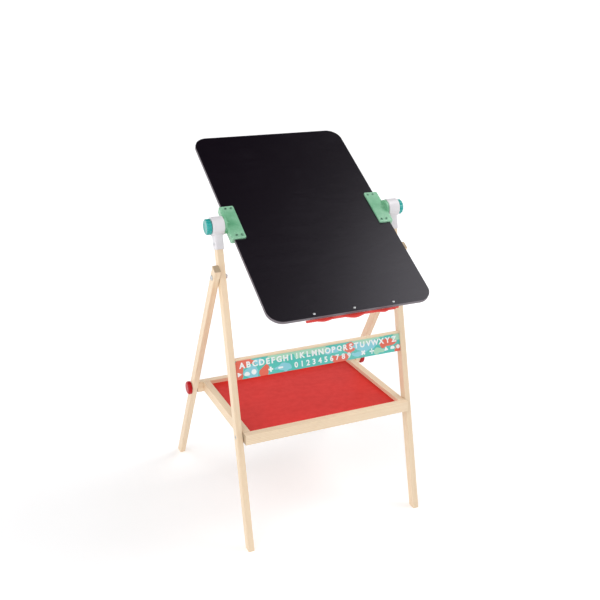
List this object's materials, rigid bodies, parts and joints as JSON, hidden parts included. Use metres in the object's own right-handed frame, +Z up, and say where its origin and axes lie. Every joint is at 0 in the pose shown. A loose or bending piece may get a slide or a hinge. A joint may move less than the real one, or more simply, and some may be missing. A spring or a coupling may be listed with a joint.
{
  "type": "kids easel",
  "caption": "Folding wooden kids easel with a flipping two-faced board, clamp heads with knobs, a printed strip and a framed tray.",
  "frame": {"origin": "on the floor, at the middle of the whole easel's box", "axes": "+X to the right of a child facing the black face, +Y to the back, +Z up"},
  "size_m": [0.5252, 0.6252, 0.9148],
  "materials": {
    "pine": "satin lacquer",
    "strip_print": "printed, satin",
    "head_white": "satin",
    "steel": "zinc plated",
    "brass": "turned",
    "panel_red": "painted",
    "ledge_red": "painted",
    "knob_red": "gloss",
    "knob_teal": "gloss",
    "clamp_green": "translucent",
    "washer_white": "moulded nylon",
    "board_edge": "painted fibreboard",
    "chalk_black": "fine matte",
    "board_white": "gloss"
  },
  "bodies": {
    "front_frame": {"front_leg_left": "pine", "front_leg_right": "pine", "cross_bar": "pine", "cross_bar_dowels": "pine", "alphabet_strip": "strip_print", "post_head_left": "head_white", "post_head_right": "head_white", "head_screws": "steel", "hinge_bolts": "steel", "hinge_nuts": "steel", "hinge_washers": "steel"},
    "rear_leg_left": {"rear_leg_left": "pine"},
    "rear_leg_right": {"rear_leg_right": "pine"},
    "tray": {"tray_rail_front": "pine", "tray_rail_rear": "pine", "tray_rail_left": "pine", "tray_rail_right": "pine", "tray_panel": "panel_red", "tray_dowels": "pine", "tray_inserts": "brass", "tray_washers": "steel", "tray_bolts": "steel", "tray_studs": "steel"},
    "red_knob_left": {"red_knob_left": "knob_red", "red_knob_insert_left": "brass"},
    "red_knob_right": {"red_knob_right": "knob_red", "red_knob_insert_right": "brass"},
    "board": {"board_core": "board_edge", "chalk_face": "chalk_black", "white_face": "board_white", "board_clamp_left": "clamp_green", "board_clamp_right": "clamp_green", "clamp_screws": "steel", "clamp_nuts": "steel", "pivot_bolt_left": "steel", "pivot_bolt_right": "steel", "friction_washers": "washer_white", "marker_ledge": "ledge_red", "ledge_screws": "steel"},
    "teal_knob_left": {"teal_knob_left": "knob_teal", "teal_knob_insert_left": "brass"},
    "teal_knob_right": {"teal_knob_right": "knob_teal", "teal_knob_insert_right": "brass"}
  },
  "joints": [
    {"name": "board_flip", "type": "hinge", "parent": "front_frame", "child": "board", "pos_m": [0, -0.05036, 0.756], "axis": [1, 0, 0], "continuous": true},
    {"name": "rear_leg_left_fold", "type": "hinge", "parent": "front_frame", "child": "rear_leg_left", "pos_m": [-0.2435, -0.07665, 0.643], "axis": [-1, 0, 0], "range_deg": [0, 43]},
    {"name": "rear_leg_right_fold", "type": "hinge", "parent": "front_frame", "child": "rear_leg_right", "pos_m": [0.2435, -0.07665, 0.643], "axis": [-1, 0, 0], "range_deg": [0, 43]},
    {"name": "tray_fold", "type": "hinge", "parent": "front_frame", "child": "tray", "pos_m": [0, -0.16299, 0.272], "axis": [1, 0, 0], "range_deg": [0, 69]},
    {"name": "red_knob_left_turn", "type": "hinge", "parent": "tray", "child": "red_knob_left", "pos_m": [-0.2516, 0.14058, 0.272], "axis": [1, 0, 0], "continuous": true},
    {"name": "red_knob_right_turn", "type": "hinge", "parent": "tray", "child": "red_knob_right", "pos_m": [0.2516, 0.14058, 0.272], "axis": [1, 0, 0], "continuous": true},
    {"name": "teal_knob_left_turn", "type": "hinge", "parent": "board", "child": "teal_knob_left", "pos_m": [-0.2421, -0.05036, 0.756], "axis": [1, 0, 0], "continuous": true},
    {"name": "teal_knob_right_turn", "type": "hinge", "parent": "board", "child": "teal_knob_right", "pos_m": [0.2421, -0.05036, 0.756], "axis": [1, 0, 0], "continuous": true}
  ],
  "couplings": [
    {"joint": "rear_leg_right_fold", "follows": "rear_leg_left_fold", "ratio": 1},
    {"joint": "tray_fold", "follows": "rear_leg_left_fold", "ratio": 1.6}
  ]
}
